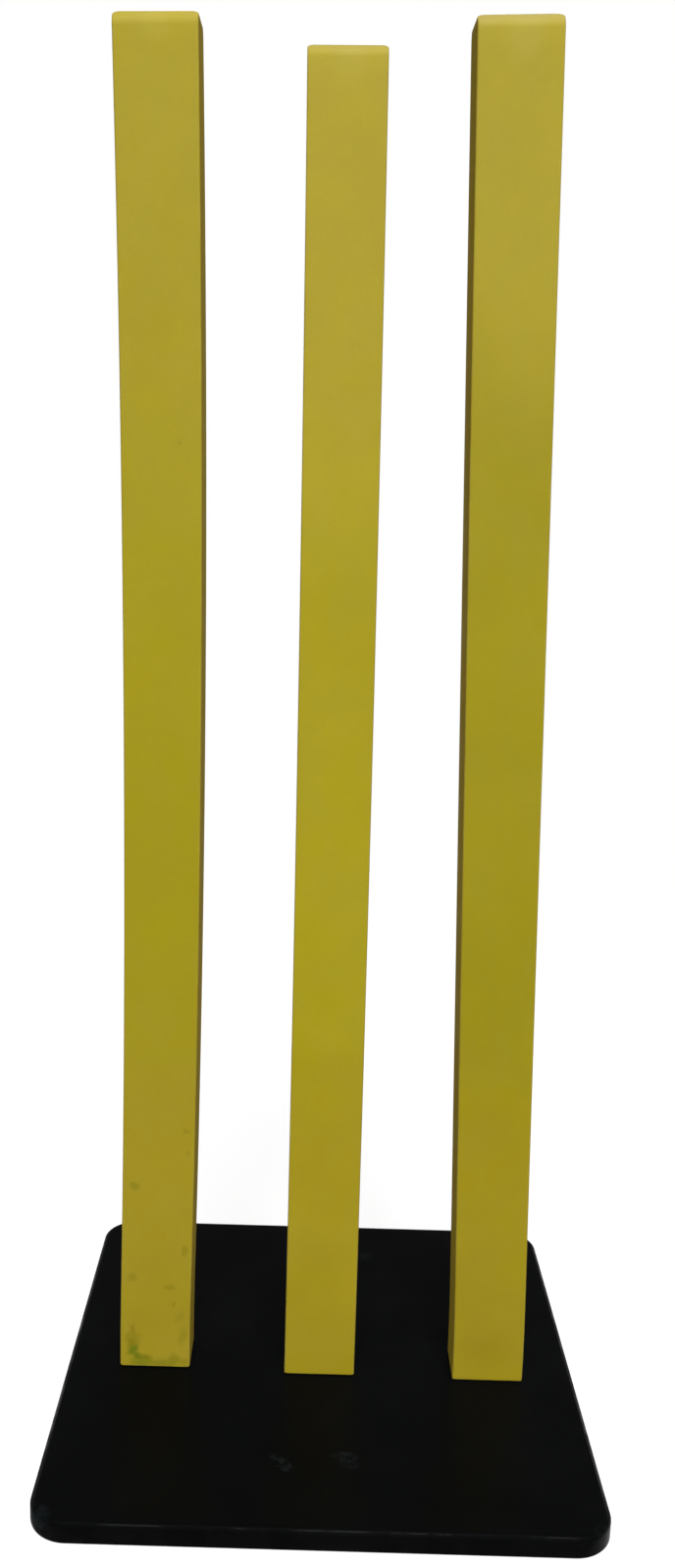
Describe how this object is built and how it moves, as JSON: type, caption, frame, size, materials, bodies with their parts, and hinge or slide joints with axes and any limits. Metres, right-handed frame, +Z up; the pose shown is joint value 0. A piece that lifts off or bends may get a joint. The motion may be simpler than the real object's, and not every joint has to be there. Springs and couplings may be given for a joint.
{
  "type": "cricket stumps",
  "caption": "Free-standing wicket of flexible square stumps bolted from beneath to a flat rubber base, for practice on hard ground.",
  "frame": {"origin": "middle of the rubber base's underside, on the ground", "axes": "+X along the row of stumps, +Y away from the bowler, +Z up"},
  "size_m": [0.286, 0.286, 0.7113],
  "materials": {
    "stump_polyurethane": "matte",
    "base_rubber": "satin",
    "zinc_steel": "satin"
  },
  "bodies": {
    "base": {"rubber_base": "base_rubber", "left_stump_foot": "stump_polyurethane", "left_anchor": "zinc_steel", "left_bolt_1": "zinc_steel", "left_bolt_2": "zinc_steel", "left_washer_1": "zinc_steel", "left_washer_2": "zinc_steel", "middle_stump_foot": "stump_polyurethane", "middle_anchor": "zinc_steel", "middle_bolt_1": "zinc_steel", "middle_bolt_2": "zinc_steel", "middle_washer_1": "zinc_steel", "middle_washer_2": "zinc_steel", "right_stump_foot": "stump_polyurethane", "right_anchor": "zinc_steel", "right_bolt_1": "zinc_steel", "right_bolt_2": "zinc_steel", "right_washer_1": "zinc_steel", "right_washer_2": "zinc_steel"},
    "left_stump": {"left_stump": "stump_polyurethane"},
    "middle_stump": {"middle_stump": "stump_polyurethane"},
    "right_stump": {"right_stump": "stump_polyurethane"}
  },
  "joints": [
    {"name": "left_stump_flex", "type": "hinge", "parent": "base", "child": "left_stump", "pos_m": [-0.09358, -0.00539, 0.0365], "axis": [-1, 0, 0], "range_deg": [-30, 30], "stiffness_Nm_per_rad": 30, "springref_deg": 0.18, "deforming": ["left_stump_foot"]},
    {"name": "middle_stump_flex", "type": "hinge", "parent": "base", "child": "middle_stump", "pos_m": [-0.00067, -0.00795, 0.0365], "axis": [-1, 0, 0], "range_deg": [-30, 30], "stiffness_Nm_per_rad": 30, "springref_deg": -0.2, "deforming": ["middle_stump_foot"]},
    {"name": "right_stump_flex", "type": "hinge", "parent": "base", "child": "right_stump", "pos_m": [0.09385, -0.00953, 0.0365], "axis": [-1, 0, 0], "range_deg": [-30, 30], "stiffness_Nm_per_rad": 30, "springref_deg": 0.21, "deforming": ["right_stump_foot"]}
  ]
}
